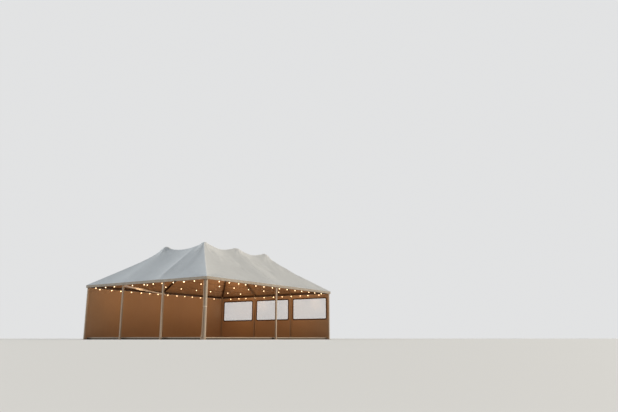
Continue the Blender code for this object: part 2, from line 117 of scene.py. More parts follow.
def joined(shapes):
    points, faces = [], []
    for its_points, its_faces in shapes:
        start = len(points)
        points += its_points
        faces += [tuple(index + start for index in face) for face in its_faces]
    return points, faces


def block(low, high):
    points = [(x, y, z) for z in (low[2], high[2]) for y in (low[1], high[1]) for x in (low[0], high[0])]
    faces = [(0, 2, 3, 1), (4, 5, 7, 6), (0, 1, 5, 4), (2, 6, 7, 3), (0, 4, 6, 2), (1, 3, 7, 5)]
    return points, faces


def ring_faces(levels, sides):
    """The faces of bands between rings of points."""
    faces = []
    for low in range(0, levels * sides, sides):
        for index in range(sides):
            following = (index + 1) % sides
            high = low + sides
            faces.append((low + index, low + following, high + following, high + index))
    return faces


def grid_faces(rows, columns):
    """The faces of a grid of points that are listed row by row."""
    wide = columns + 1
    corners = [row * wide + column for row in range(rows) for column in range(columns)]
    return [(corner, corner + 1, corner + wide + 1, corner + wide) for corner in corners]


def doubled(points, faces, drop, rim):
    """A sheet and its copy a little lower, closed round the rim."""
    under = len(points)
    points = points + [(x, y, z - drop) for x, y, z in points]
    faces = faces + [tuple(index + under for index in reversed(face)) for face in faces]
    for first, second in zip(rim, rim[1:] + rim[:1]):
        faces.append((first, first + under, second + under, second))
    return points, faces


def turned(profile, centre, sides):
    """A solid turned round an upright axis. The profile runs from its foot to its top."""
    points = []
    for radius, height in profile:
        for index in range(sides):
            turn = math.tau * index / sides
            x, y = centre[0] + radius * math.cos(turn), centre[1] + radius * math.sin(turn)
            points.append((x, y, centre[2] + height))
    faces = ring_faces(len(profile) - 1, sides)
    faces.append(tuple(range(sides - 1, -1, -1)))
    last = (len(profile) - 1) * sides
    faces.append(tuple(range(last, last + sides)))
    return points, faces


def tape(places, across, lifts, closed=False):
    """A flat band along a line: at each place a half-width vector and a thickness vector."""
    points, faces = [], []
    for place, side, lift in zip(places, across, lifts):
        place, side, lift = Vector(place), Vector(side), Vector(lift)
        corners = (place - side, place + side, place + side + lift, place - side + lift)
        points += [tuple(corner) for corner in corners]
    count = len(places)
    for index in range(count if closed else count - 1):
        first, second = 4 * index, 4 * ((index + 1) % count)
        for corner in range(4):
            following = (corner + 1) % 4
            faces.append((first + corner, second + corner, second + following, first + following))
    if not closed:
        faces.append((0, 1, 2, 3))
        last = 4 * (count - 1)
        faces.append((last + 3, last + 2, last + 1, last))
    return points, faces


def place_mesh(name, shape, materials, smooth_angle=None, indices=None):
    points, faces = shape
    mesh = bpy.data.meshes.new(name)
    mesh.from_pydata(points, [], faces)
    for item in materials:
        mesh.materials.append(item)
    if indices is not None:
        mesh.polygons.foreach_set("material_index", indices)
    mesh.update()
    if smooth_angle is not None:
        mesh.shade_smooth()
        mesh.set_sharp_from_angle(angle=smooth_angle)
    piece = add_object(name, mesh)
    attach(piece, "root")
    return piece


def middle_of(low, high):
    return ((low.x + high.x) / 2, (low.y + high.y) / 2)


def face_outwards(piece):
    work = bmesh.new()
    work.from_mesh(piece.data)
    bmesh.ops.recalc_face_normals(work, faces=work.faces[:])
    work.to_mesh(piece.data)
    work.free()


def place_trim(name, shapes, material):
    """Several closed shapes as one piece, such as a seam, tape or hem."""
    piece = place_mesh(name, joined(shapes), [material], 0.6)
    face_outwards(piece)
    return piece


def add_bevel(piece, width, segments=2):
    bevel = piece.modifiers.new("bevel", "BEVEL")
    bevel.width = width
    bevel.segments = segments
    bevel.limit_method = "ANGLE"


def add_thickness(piece, thickness):
    """The sheet grows inwards, and its inner face takes the second material."""
    solid = piece.modifiers.new("thickness", "SOLIDIFY")
    solid.thickness = thickness
    solid.offset = -1.0
    solid.use_even_offset = True
    solid.material_offset = 1


def place_sheet(name, shape, cloths, thickness):
    piece = place_mesh(name, shape, cloths, 1.0)
    add_thickness(piece, thickness)
    return piece


# Materials


WHITE = (1.0, 1.0, 1.0)


def shade(colour, share):
    return tuple(min(1.0, value * share) for value in colour)


class Finish:
    """A material whose colour and bump come from nodes, in the model's own coordinates."""

    def __init__(self, name, roughness, metallic=0.0, specular=0.5):
        self.material = bpy.data.materials.new(name)
        self.material.use_nodes = True
        self.tree = self.material.node_tree
        self.shader = self.tree.nodes["Principled BSDF"]
        self.feed(self.shader, {"Roughness": roughness, "Metallic": metallic, "Specular IOR Level": specular})
        self.place = self.tree.nodes.new("ShaderNodeTexCoord").outputs["Object"]

    def feed(self, item, inputs):
        """Each input takes a plain value, or a link from another node's output."""
        for key, value in inputs.items():
            if isinstance(value, bpy.types.NodeSocket):
                self.tree.links.new(value, item.inputs[key])
            else:
                item.inputs[key].default_value = value

    def node(self, kind, inputs, **values):
        item = self.tree.nodes.new(kind)
        for key, value in values.items():
            setattr(item, key, value)
        self.feed(item, inputs)
        return item

    def noise(self, scale, detail=3.0, rough=0.5, stretch=None, distortion=0.0):
        place = self.place
        if stretch:
            place = self.node("ShaderNodeMapping", {"Scale": stretch, "Vector": place}).outputs["Vector"]
        inputs = {"Scale": scale, "Detail": detail, "Roughness": rough, "Distortion": distortion}
        return self.node("ShaderNodeTexNoise", {**inputs, "Vector": place}).outputs["Fac"]

    def ramp(self, fac, stops):
        item = self.node("ShaderNodeValToRGB", {"Fac": fac})
        band = item.color_ramp
        while len(band.elements) < len(stops):
            band.elements.new(0.5)
        for element, (place, colour) in zip(band.elements, stops):
            element.position = place
            element.color = (*colour, 1.0)
        return item.outputs["Color"]

    def multiply(self, first, second, share):
        inputs = {"Factor": share, 6: first, 7: second}
        return self.node("ShaderNodeMix", inputs, data_type="RGBA", blend_type="MULTIPLY").outputs[2]

    def colour(self, source):
        self.feed(self.shader, {"Base Color": source})

    def rough(self, fac, low, high):
        item = self.node("ShaderNodeMapRange", {"To Min": low, "To Max": high, "Value": fac})
        self.feed(self.shader, {"Roughness": item.outputs["Result"]})

    def bump(self, height, strength, distance):
        inputs = {"Strength": strength, "Distance": distance, "Height": height}
        previous = self.shader.inputs["Normal"]
        if previous.is_linked:
            inputs["Normal"] = previous.links[0].from_socket
        item = self.node("ShaderNodeBump", inputs)
        self.feed(self.shader, {"Normal": item.outputs["Normal"]})


def fabric(name, light, dark, roughness, streaks=0.35):
    """Coated cloth: broad tint changes, faint upright streaks of weather, a fine woven grain."""
    finish = Finish(name, roughness, specular=0.35)
    broad = finish.ramp(finish.noise(0.45, 2.0, 0.45), [(0.30, dark), (0.70, light)])
    grey = (0.90, 0.89, 0.86)
    marks = finish.ramp(finish.noise(7.0, 3.0, 0.5, (1.0, 1.0, 0.25)), [(0.34, grey), (0.62, WHITE)])
    finish.colour(finish.multiply(broad, marks, streaks))
    finish.rough(finish.noise(3.0), roughness - 0.08, roughness + 0.10)
    finish.bump(finish.noise(1.6, 2.0), 0.4, 0.010)
    finish.bump(finish.noise(420.0, 1.0), 0.2, 0.0003)
    return finish.material


def metal(name, colour, roughness, metallic):
    """Drawn bars: a tone that drifts along the bar, and fine upright rub marks."""
    finish = Finish(name, roughness, metallic)
    tone = finish.ramp(finish.noise(1.8, 3.0, 0.5), [(0.32, shade(colour, 0.90)), (0.66, colour)])
    marks = finish.noise(40.0, 4.0, 0.6, (1.0, 1.0, 0.15))
    rubbed = finish.ramp(marks, [(0.38, shade(WHITE, 0.88)), (0.56, WHITE)])
    finish.colour(finish.multiply(tone, rubbed, 0.45))
    finish.rough(finish.noise(22.0, 4.0), roughness - 0.08, roughness + 0.10)
    finish.bump(finish.noise(160.0, 2.0), 0.15, 0.0004)
    return finish.material


def timber(name, colour, pitch):
    """Boards along X: a tone for each board, long grain and worn patches."""
    finish = Finish(name, 0.62, specular=0.4)
    split = finish.node("ShaderNodeSeparateXYZ", {"Vector": finish.place})
    scaled = finish.node("ShaderNodeMath", {0: split.outputs["Y"], 1: 1.0 / pitch}, operation="MULTIPLY")
    floored = finish.node("ShaderNodeMath", {0: scaled.outputs["Value"]}, operation="FLOOR")
    chance = finish.node("ShaderNodeTexWhiteNoise", {"W": floored.outputs["Value"]}, noise_dimensions="1D")
    board = finish.ramp(chance.outputs["Value"], [(0.0, shade(colour, 0.75)), (1.0, colour)])
    grain_height = finish.noise(7.0, 6.0, 0.7, (0.35, 9.0, 9.0), 1.2)
    grain = finish.ramp(grain_height, [(0.30, (0.66, 0.61, 0.56)), (0.62, WHITE)])
    worn = finish.ramp(finish.noise(0.9, 3.0), [(0.30, shade(colour, 0.55)), (0.62, WHITE)])
    finish.colour(finish.multiply(finish.multiply(board, grain, 0.7), worn, 0.15))
    finish.bump(grain_height, 0.4, 0.0015)
    return finish.material


def rubber(name, colour):
    finish = Finish(name, 0.55, specular=0.4)
    finish.colour(finish.ramp(finish.noise(30.0, 4.0), [(0.35, shade(colour, 0.6)), (0.65, colour)]))
    finish.bump(finish.noise(300.0, 2.0), 0.3, 0.0003)
    return finish.material


def clear_film(name):
    """Soft clear sheet, a little cloudy, with shallow waves. It keeps the key light off the walls."""
    finish = Finish(name, 0.16, specular=0.5)
    clouds = [(0.3, (0.86, 0.88, 0.84)), (0.7, (0.95, 0.95, 0.92))]
    finish.colour(finish.ramp(finish.noise(2.0, 4.0), clouds))
    finish.feed(finish.shader, {"Alpha": 0.20})
    finish.bump(finish.noise(2.2, 1.0), 0.3, 0.01)
    finish.material.use_transparent_shadow = False
    return finish.material


def lamp_glass(name, colour, strength):
    finish = Finish(name, 0.25)
    glow = finish.ramp(finish.noise(60.0, 2.0), [(0.3, colour), (0.7, shade(colour, 1.15))])
    finish.colour(glow)
    finish.feed(finish.shader, {"Emission Color": glow, "Emission Strength": strength})
    return finish.material


COVER_OUTSIDE = fabric("cover_outside", (0.67, 0.68, 0.68), (0.62, 0.63, 0.63), 0.48, 0.25)
# The cover's inner face is the same white cloth; its warm tan colour is painted lamplight and shade.
COVER_INSIDE_PAINTED_LAMPLIGHT = fabric("cover_inside_painted_lamplight", (0.46, 0.30, 0.18), (0.41, 0.265, 0.155), 0.60, 0.15)
COVER_TAPE = fabric("cover_tape", (0.70, 0.705, 0.70), (0.66, 0.665, 0.66), 0.42, 0.2)
# The valance is the cover's pale cloth; its darker brown-grey colour is painted shade under the eave.
VALANCE_PAINTED_SHADE = fabric("valance_painted_shade", (0.385, 0.32, 0.245), (0.345, 0.28, 0.21), 0.52, 0.2)
WALL_OUTSIDE = fabric("wall_outside", (0.66, 0.64, 0.59), (0.61, 0.59, 0.54), 0.50, 0.25)
# The walls' inner face is the same pale cloth; its warm tan colour is painted lamplight and shade.
WALL_INSIDE_PAINTED_LAMPLIGHT = fabric("wall_inside_painted_lamplight", (0.50, 0.33, 0.20), (0.45, 0.295, 0.17), 0.60, 0.15)
# The curtain's warm tan colour is painted lamplight on pale cloth.
CURTAIN_PAINTED_LAMPLIGHT = fabric("curtain_painted_lamplight", (0.75, 0.60, 0.45), (0.69, 0.54, 0.40), 0.65, 0.2)
TAN_WEBBING = fabric("tan_webbing", (0.62, 0.44, 0.28), (0.54, 0.37, 0.22), 0.60)
BROWN_WEBBING = fabric("brown_webbing", (0.095, 0.045, 0.018), (0.065, 0.030, 0.012), 0.60)
# The posts are aluminium; their warm tan cast is painted lamplight, with real rub marks over it.
POST_PAINTED_LAMPLIGHT = metal("post_aluminium_painted_lamplight", (0.46, 0.35, 0.245), 0.42, 0.15)
BOLT_METAL = metal("bolt_zinc", (0.62, 0.62, 0.60), 0.35, 0.9)
# The rails, rafters, purlins and crown posts are very dark brown.
DARK_BROWN_BARS = metal("dark_brown_bars", (0.066, 0.031, 0.011), 0.42, 0.0)
# The end rafters' tan colour is painted lamplight, the colour of the lamplit ceiling behind them.
TAN_PAINTED_LAMPLIGHT_BARS = metal("tan_painted_lamplight_bars", (0.36, 0.24, 0.14), 0.45, 0.0)
TIE_METAL = metal("tie_white_coated", (0.95, 0.95, 0.93), 0.30, 0.0)
DECK_TIMBER = timber("deck_boards", (0.20, 0.135, 0.085), 0.24)
EDGE_TIMBER = timber("deck_edge", (0.085, 0.048, 0.024), 5.0)
EDGE_METAL = metal("deck_sill", (0.42, 0.34, 0.25), 0.50, 0.3)
CORD_RUBBER = rubber("cord_rubber", (0.035, 0.032, 0.03))
HOLDER_PLASTIC = rubber("holder_plastic", (0.05, 0.045, 0.04))
WINDOW_FILM = clear_film("window_film")
LAMP_GLASS = lamp_glass("lamp_glass", (1.0, 0.66, 0.38), 4.0)


def finish_solids():
    """The solids that stay in view take the detailed finishes."""
    bars = ("eave_rail", "hip_rafter", "middle_rafter", "long_purlin", "cross_purlin", "crown_post")
    finishes = {
        ("corner_post", "middle_post", "end_post"): POST_PAINTED_LAMPLIGHT,
        bars: DARK_BROWN_BARS,
        ("end_rafter",): TAN_PAINTED_LAMPLIGHT_BARS,
        ("corner_tie",): TIE_METAL,
        ("light_string",): CORD_RUBBER,
    }
    for name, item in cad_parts.items():
        for starts, finish in finishes.items():
            if name.startswith(starts):
                item.data.materials.clear()
                item.data.materials.append(finish)


# Strings of lights


# Radii and heights under the cord, from the foot up
HOLDER_PROFILE = [(0.0130, -0.042), (0.0145, -0.036), (0.0125, -0.032), (0.0135, -0.010)]
HOLDER_PROFILE += [(0.012, 0.0), (0.006, 0.004)]
GLASS_PROFILE = [(0.0025, -0.086), (0.0090, -0.0845), (0.0160, -0.080), (0.0212, -0.072)]
GLASS_PROFILE += [(0.0220, -0.062), (0.0185, -0.051), (0.0130, -0.043), (0.0110, -0.038)]
HOLDER_SIDES, GLASS_SIDES = 12, 14
LAMP_SHIFT = 0.15
BESIDE_HEAD = 0.13


def even_places(points, pitch, chance):
    """Places at a nearly even pitch along a line of points, centred on it."""
    line = [Vector(point) for point in points]
    lengths = [(b - a).length for a, b in zip(line, line[1:])]
    total = sum(lengths)
    count = int(total / pitch)
    wanted = []
    for index in range(count):
        step = index - (count - 1) / 2 + chance.uniform(-LAMP_SHIFT, LAMP_SHIFT)
        wanted.append(total / 2 + step * pitch)
    places, walked, index = [], 0.0, 0
    for distance in wanted:
        while walked + lengths[index] < distance:
            walked += lengths[index]
            index += 1
        share = (distance - walked) / lengths[index]
        places.append(line[index].lerp(line[index + 1], share))
    return places


def place_lamps(name, places):
    """Dark lamp holders under a cord, and the round lamps in them."""
    holders = joined([turned(HOLDER_PROFILE, place, HOLDER_SIDES) for place in places])
    glasses = joined([turned(GLASS_PROFILE, place, GLASS_SIDES) for place in places])
    holder_piece = place_mesh(f"lamp_holders_{name}", holders, [HOLDER_PLASTIC], 0.7)
    return holder_piece, place_mesh(f"lamps_{name}", glasses, [LAMP_GLASS], 0.9)


def make_swag(side_name, side):
    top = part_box(f"light_string_{side_name}")[1].z - CORD_DIAMETER / 2
    reach = HALF_X - SWAG_FROM_END
    points = []
    for index in range(SWAG_POINTS):
        along = 2.0 * index / (SWAG_POINTS - 1) - 1.0
        points.append((along * reach, side * PEAK_Y, top - SWAG_SAG * (1.0 - along * along)))
    name = f"light_swag_{side_name}"
    curve = bpy.data.curves.new(name, "CURVE")
    curve.dimensions = "3D"
    curve.bevel_depth = CORD_DIAMETER / 2
    curve.bevel_resolution = 4
    curve.use_fill_caps = True
    spline = curve.splines.new("POLY")
    spline.points.add(len(points) - 1)
    for target, point in zip(spline.points, points):
        target.co = (*point, 1.0)
    curve.materials.append(CORD_RUBBER)
    piece = add_object(name, curve)
    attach(piece, "root")
    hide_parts(f"light_string_{side_name}")
    drop = Vector((0.0, 0.0, CORD_DIAMETER / 2))
    places = even_places(points, SWAG_LAMP_PITCH, random.Random(5 + side))
    parts = place_lamps(side_name, [place - drop for place in places])


def make_eave_lamps():
    """Lamps on the fixed cord clipped under the rails."""
    low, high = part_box("light_string_eaves")
    reach_x, reach_y = high.x - CORD_DIAMETER / 2, high.y - CORD_DIAMETER / 2
    head_x, head_y = reach_x - BESIDE_HEAD, reach_y - BESIDE_HEAD
    height = (low.z + high.z) / 2 - CORD_DIAMETER / 2
    lines = []
    for side in (-1, 1):
        lines.append([(-head_x, side * reach_y, height), (head_x, side * reach_y, height)])
        lines.append([(side * reach_x, -head_y, height), (side * reach_x, head_y, height)])
    chance = random.Random(23)
    place_lamps("eaves", [place for line in lines for place in even_places(line, EAVE_LAMP_PITCH, chance)])


# Roof cover


def support_lines():
    """The plan lines that hold the cover up: hips, rafters and purlins, then the eaves."""
    lines, eaves = [], []
    for side in (-1, 1):
        eaves.append(((-HALF_X, side * HALF_Y), (HALF_X, side * HALF_Y)))
        eaves.append(((side * HALF_X, -HALF_Y), (side * HALF_X, HALF_Y)))
        lines.append(((-PEAK_X, side * PEAK_Y), (PEAK_X, side * PEAK_Y)))
        lines.append(((0.0, side * HALF_Y), (0.0, side * PEAK_Y)))
        for end in (-1, 1):
            peak = (end * PEAK_X, side * PEAK_Y)
            lines.append(((end * HALF_X, side * HALF_Y), peak))
            lines.append(((end * HALF_X, side * PEAK_Y), peak))
    for x in (-PEAK_X, 0.0, PEAK_X):
        lines.append(((x, -PEAK_Y), (x, PEAK_Y)))
    return lines, eaves


SEAM_LINES, EAVE_LINES = support_lines()


def to_support(x, y):
    """The plan distance to the nearest line that holds the cover."""
    nearest = np.full(np.shape(x), np.inf)
    for (ax, ay), (bx, by) in SEAM_LINES + EAVE_LINES:
        dx, dy = bx - ax, by - ay
        share = np.clip(((x - ax) * dx + (y - ay) * dy) / (dx * dx + dy * dy), 0.0, 1.0)
        nearest = np.minimum(nearest, np.hypot(x - ax - share * dx, y - ay - share * dy))
    return nearest


def soft_noise(x, y, scale, shift):
    places = zip(np.ravel(x), np.ravel(y))
    values = [noise.noise(Vector((a * scale[0], b * scale[1], shift))) for a, b in places]
    return np.reshape(values, np.shape(x))


SHOULDER_LIFT = 0.042
SHOULDER_RADIUS = 0.15
SHOULDER_WIDTH = 0.13
RIDGE_LIFTS = (0.088, 0.02)
RIDGE_REACH = 0.48
RIDGE_WIDTH = 0.34
PLEAT_DEPTH = 0.010
PLEATS = 11
WRINKLE_DEPTH = 0.010
PLEAT_REACH, PLEAT_START = 0.55, 0.10
WRINKLE_START = 0.22
CREASE_ROUNDING = 0.04
CREASE_FADE = 0.16

# Creases in plan: a path, its height, and its widths left and right of the path. The first two
# start at a peak and are measured from it, and the last runs up an end of the roof.
PEAK_RIDGE = ([(0.15, -0.30), (0.42, -0.66), (0.85, -0.86), (1.50, -0.96)], 0.034, 0.20, 0.17)
PEAK_HOLLOW = ([(0.22, -0.80), (0.65, -1.16), (1.40, -1.38)], -0.024, 0.17, 0.24)
END_PATH = [(-5.10, -1.12), (-4.36, -1.01), (-3.73, -0.91), (-3.16, -0.88), (-2.70, -0.86), (-2.30, -1.00)]
END_RIDGE = (END_PATH, 0.085, 0.40, 0.26)
RAFTER_FLATNESS = 0.75


def crease(x, y, path, height, left_width, right_width):
    """A ridge or hollow of cloth along a path, fading out at the path's ends."""
    nearest, width, share = np.full(np.shape(x), np.inf), np.ones(np.shape(x)), np.zeros(np.shape(x))
    lengths = [math.dist(start, end) for start, end in zip(path, path[1:])]
    walked = 0.0
    for start, end, length in zip(path, path[1:], lengths):
        along = ((end[0] - start[0]) / length, (end[1] - start[1]) / length)
        off_x, off_y = x - start[0], y - start[1]
        walk = np.clip(off_x * along[0] + off_y * along[1], 0.0, length)
        away = np.hypot(off_x - walk * along[0], off_y - walk * along[1])
        leftwards = along[0] * off_y - along[1] * off_x > 0.0
        closer = away < nearest
        nearest = np.where(closer, away, nearest)
        width = np.where(closer, np.where(leftwards, left_width, right_width), width)
        share = np.where(closer, (walked + walk) / sum(lengths), share)
        walked += length
    fade = np.clip(np.minimum(share, 1.0 - share) / CREASE_FADE, 0.0, 1.0)
    away = np.hypot(nearest, CREASE_ROUNDING) - CREASE_ROUNDING
    return height * fade * fade * (3.0 - 2.0 * fade) * np.exp(-away / width)


def sag_of(x, y):
    return ROOF_SAG * (1.0 - np.exp(-to_support(x, y) / SAG_REACH))


def rafter_ease(x, y):
    """Takes up the sag beside the end and middle rafters, where the cloth runs straight over."""
    beyond_x = np.clip((np.abs(x) - PEAK_X) / RAFTER_FLATNESS, 0.0, 1.0)
    beyond_y = np.clip((np.abs(y) - PEAK_Y) / RAFTER_FLATNESS, 0.0, 1.0)
    near_end = np.exp(-(((np.abs(y) - PEAK_Y) / RAFTER_FLATNESS) ** 2)) * beyond_x
    near_middle = np.exp(-((x / RAFTER_FLATNESS) ** 2)) * beyond_y
    return sag_of(x, y) * np.maximum(near_end, near_middle)


def ridge_lift(x, y):
    """How the cloth stays high beside the peaks, along the purlins that join them."""
    total = np.zeros(np.shape(x))
    for peak_x, peak_y in PEAKS:
        off_x, off_y = x - peak_x, y - peak_y
        directions = [((0.0, -math.copysign(1.0, peak_y)), RIDGE_LIFTS[1])]
        directions += [((turn, 0.0), RIDGE_LIFTS[0]) for turn in (-1.0, 1.0) if abs(peak_x + turn) < PEAK_X]
        for (along_x, along_y), lift in directions:
            walk = np.clip(off_x * along_x + off_y * along_y, 0.0, None) / RIDGE_REACH
            away = off_x * along_y - off_y * along_x
            total += lift * walk**2 * np.exp(2.0 * (1.0 - walk) - (away / RIDGE_WIDTH) ** 2)
    return total


def creases(x, y):
    """The creases that show in the photograph, and the same ones on the far sides."""
    total = np.zeros(np.shape(x))
    for peak_x, peak_y in PEAKS:
        side = -math.copysign(1.0, peak_y)
        for path, height, left_width, right_width in (PEAK_RIDGE, PEAK_HOLLOW):
            total += crease(x - peak_x, (y - peak_y) * side, path, height, left_width, right_width)
    for turn in (-1, 1):
        total += crease(x * turn, y * turn, *END_RIDGE)
    return total


def wrinkles(x, y):
    """Pleats that run out from each peak, and soft creases in the free spans."""
    total = np.zeros(np.shape(x))
    for number, (peak_x, peak_y) in enumerate(PEAKS):
        away = np.hypot(x - peak_x, y - peak_y)
        turn = np.arctan2(y - peak_y, x - peak_x)
        strength = np.exp(-away / PLEAT_REACH) * (1.0 - np.exp(-away / PLEAT_START))
        total += PLEAT_DEPTH * strength * np.cos(PLEATS * turn + number)
        total += SHOULDER_LIFT * np.exp(-(((away - SHOULDER_RADIUS) / SHOULDER_WIDTH) ** 2))
    total += ridge_lift(x, y) + creases(x, y) + rafter_ease(x, y)
    free = 1.0 - np.exp(-to_support(x, y) / WRINKLE_START)
    total += WRINKLE_DEPTH * free * soft_noise(x, y, (0.9, 2.4), 3.1)
    total += WRINKLE_DEPTH * 0.6 * free * soft_noise(x, y, (2.6, 1.1), 8.4)
    return total


def draped_top(x, y):
    """The height of the cover's outer face over a place in plan."""
    x, y = np.asarray(x, float), np.asarray(y, float)
    along_x = (HALF_X - np.abs(x)) / (HALF_X - PEAK_X)
    along_y = (HALF_Y - np.abs(y)) / (HALF_Y - PEAK_Y)
    slope = RAFTER_RISE * np.minimum(1.0, np.minimum(along_x, along_y))
    cone = np.zeros(np.shape(x))
    for peak_x, peak_y in PEAKS:
        away = np.sqrt((x - peak_x) ** 2 + (y - peak_y) ** 2 + CONE_ROUNDING**2) - CONE_ROUNDING
        cone += CONE_HEIGHT * np.exp(-away / CONE_REACH)
    edge = np.minimum(HALF_X - np.abs(x), HALF_Y - np.abs(y)) / CONE_REACH
    cone *= np.clip(edge, 0.0, 1.0)
    return EAVE_Z + slope + cone - sag_of(x, y) + wrinkles(x, y)


def axis_lines(half, peak, middle_peak):
    """The cover's mesh lines on one axis. They crowd towards the peaks."""
    slope = [1.0 - (1.0 - step / SLOPE_STEPS) ** CLOSER_AT_PEAKS for step in range(SLOPE_STEPS)]
    lines = [half - (half - peak) * share for share in slope]
    bays = [(peak, 0.0), (0.0, -peak)] if middle_peak else [(peak, -peak)]
    for start, end in bays:
        for step in range(2 * BAY_STEPS):
            share = step / (2 * BAY_STEPS)
            near = 0.5 * (2.0 * min(share, 1.0 - share)) ** CLOSER_AT_PEAKS
            lines.append(start + (end - start) * (near if share <= 0.5 else 1.0 - near))
    lines += [-(half - (half - peak) * share) for share in reversed(slope)]
    lines.append(-peak)
    return sorted(set(round(line, 6) for line in lines))


def edge_loop(columns, rows):
    """The indices round the edge of the grid, anticlockwise from the front left corner."""
    loop = list(range(columns))
    loop += [row * columns + columns - 1 for row in range(1, rows)]
    loop += [(rows - 1) * columns + column for column in range(columns - 2, -1, -1)]
    loop += [row * columns for row in range(rows - 2, 0, -1)]
    return loop


def outward(value, half):
    """Which way the eave at this coordinate faces, or 0 away from it."""
    return math.copysign(1.0, value) if abs(value) > half - 1e-4 else 0.0


def valance_place(x, y, depth):
    """A point of the valance. Depth runs from 0 at the eave to 1 at its lower edge."""
    out_x, out_y = outward(x, HALF_X), outward(y, HALF_Y)
    along = x if out_y else y
    drift = noise.noise(Vector((x * 0.8, y * 0.8, 5.0)))
    push = 0.5 + 0.5 * math.sin(math.tau * along / RIPPLE_LENGTH + 5.0 * drift)
    push *= min(HALF_X - abs(x) if out_y else HALF_Y - abs(y), RIPPLE_FADE) / RIPPLE_FADE
    push *= RIPPLE_DEPTH * depth
    return Vector((x + out_x * push, y + out_y * push, EAVE_Z - VALANCE_DROP * depth))


def make_cover():
    xs = axis_lines(HALF_X, PEAK_X, True)
    ys = axis_lines(HALF_Y, PEAK_Y, False)
    columns, rows = len(xs), len(ys)
    grid_x, grid_y = np.meshgrid(xs, ys)
    heights = draped_top(grid_x, grid_y)
    points = [tuple(point) for point in zip(grid_x.ravel(), grid_y.ravel(), heights.ravel())]
    faces = []
    for quad in grid_faces(rows - 1, columns - 1):
        row, column = divmod(quad[0], columns)
        if (xs[column] + xs[column + 1]) * (ys[row] + ys[row + 1]) <= 0.0:
            quad = quad[1:] + quad[:1]
        faces += [quad[:3], (quad[0], *quad[2:])]
    top_faces = len(faces)
    loop = above = edge_loop(columns, rows)
    for level in range(1, VALANCE_ROWS + 1):
        start = len(points)
        depth = level / VALANCE_ROWS
        points += [tuple(valance_place(points[index][0], points[index][1], depth)) for index in loop]
        below = list(range(start, start + len(loop)))
        for index in range(len(loop)):
            following = (index + 1) % len(loop)
            faces.append((above[index], below[index], below[following], above[following]))
        above = below
    # Index 2 marks the valance rows, which take the painted shade colour.
    indices = [0] * top_faces + [2] * (len(faces) - top_faces)
    # The cover's inner face takes the painted lamplight colour.
    cloths = [COVER_OUTSIDE, COVER_INSIDE_PAINTED_LAMPLIGHT, VALANCE_PAINTED_SHADE, VALANCE_PAINTED_SHADE]
    cover = place_mesh("roof_cover", (points, faces), cloths, 0.5, indices)
    add_thickness(cover, COVER_THICKNESS)
    panels = [f"roof_panel_{name}" for name in ("front", "back", "left", "right", "top")]
    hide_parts(*panels)
    trims = [make_seams(), make_peak_patches(), make_valance_tapes([points[index] for index in loop])]
    rests = [f"eave_rail_{name}" for name in ("front", "back", "left", "right")]
    rests += [f"crown_post_{side}_{place}" for side in SIDES for place in ("left", "middle", "right")]


SEAM_WIDTH = 0.045
SEAM_THICKNESS = 0.0025
SEAM_PITCH = 0.05
SEAM_SHOULDER = 0.9
SEAM_CLEARANCE, SEAM_DEPTH = 0.0004, 0.0035


def seam(start, end):
    """A welded strip over one support line, bent over the ridge that it covers."""
    start = Vector(start)
    along = Vector(end) - start
    count = max(2, int(along.length / SEAM_PITCH))
    across = Vector((-along.y, along.x)).normalized() * SEAM_WIDTH / 2
    offsets = (-1.0, -SEAM_SHOULDER, 0.0, SEAM_SHOULDER, 1.0)
    lifts = (0.0, SEAM_THICKNESS, SEAM_THICKNESS, SEAM_THICKNESS, 0.0)
    centres = [start + along * (index / count) for index in range(count + 1)]
    plan = [centre + across * offset for centre in centres for offset in offsets]
    tops = draped_top([place.x for place in plan], [place.y for place in plan])
    wide = len(offsets)
    points = []
    for number, (place, top) in enumerate(zip(plan, tops)):
        points.append((place.x, place.y, top + lifts[number % wide] + SEAM_CLEARANCE))
    return doubled(points, grid_faces(count, wide - 1), SEAM_DEPTH, edge_loop(wide, count + 1))


def make_seams():
    shapes = [seam(start, end) for start, end in SEAM_LINES]
    return place_trim("cover_seams", shapes, COVER_TAPE)


# Radii and heights over the cover
PATCH_RINGS = [(0.004, 0.0060), (0.035, 0.0060), (0.075, 0.0060), (0.110, 0.0055)]
PATCH_RINGS += [(0.113, 0.0040), (0.160, 0.0038), (0.164, 0.0018)]
PATCH_SIDES = 32
PATCH_DEPTH = 0.0055


def make_peak_patches():
    """A round patch, lapped in two rings, where the cover bears on each crown post."""
    shapes = []
    sides = PATCH_SIDES
    turns = [math.tau * index / sides for index in range(sides)]
    for peak_x, peak_y in PEAKS:
        points = []
        for radius, lift in PATCH_RINGS:
            xs = [peak_x + radius * math.cos(turn) for turn in turns]
            ys = [peak_y + radius * math.sin(turn) for turn in turns]
            points += [(x, y, z + lift) for x, y, z in zip(xs, ys, draped_top(xs, ys))]
        bands = ring_faces(len(PATCH_RINGS) - 1, sides)
        faces = [tuple(range(sides))] + [(b, a, d, c) for a, b, c, d in bands]
        rim = list(range(len(points) - sides, len(points)))
        shapes.append(doubled(points, faces, PATCH_DEPTH, rim))
    return place_trim("peak_patches", shapes, COVER_TAPE)


# Radii and heights under the cover, from the foot up
CROWN_PAD = [(0.014, -0.095), (0.030, -0.080), (0.046, -0.056), (0.048, -0.046)]
CROWN_PAD += [(0.034, -0.032), (0.016, -0.016), (0.004, -0.008)]


def make_crown_pads():
    """Rounded pads on the crown posts, which push the cover up."""
    shapes = []
    for x, y in PEAKS:
        underside = float(draped_top([x], [y])[0]) - COVER_THICKNESS
        shapes.append(turned(CROWN_PAD, (x, y, underside), 20))
    place_mesh("crown_pads", joined(shapes), [HOLDER_PLASTIC], 0.6)


# How far down the valance each tape runs, and half its width
VALANCE_TAPES = ((0.10, 0.012), (0.93, 0.008))


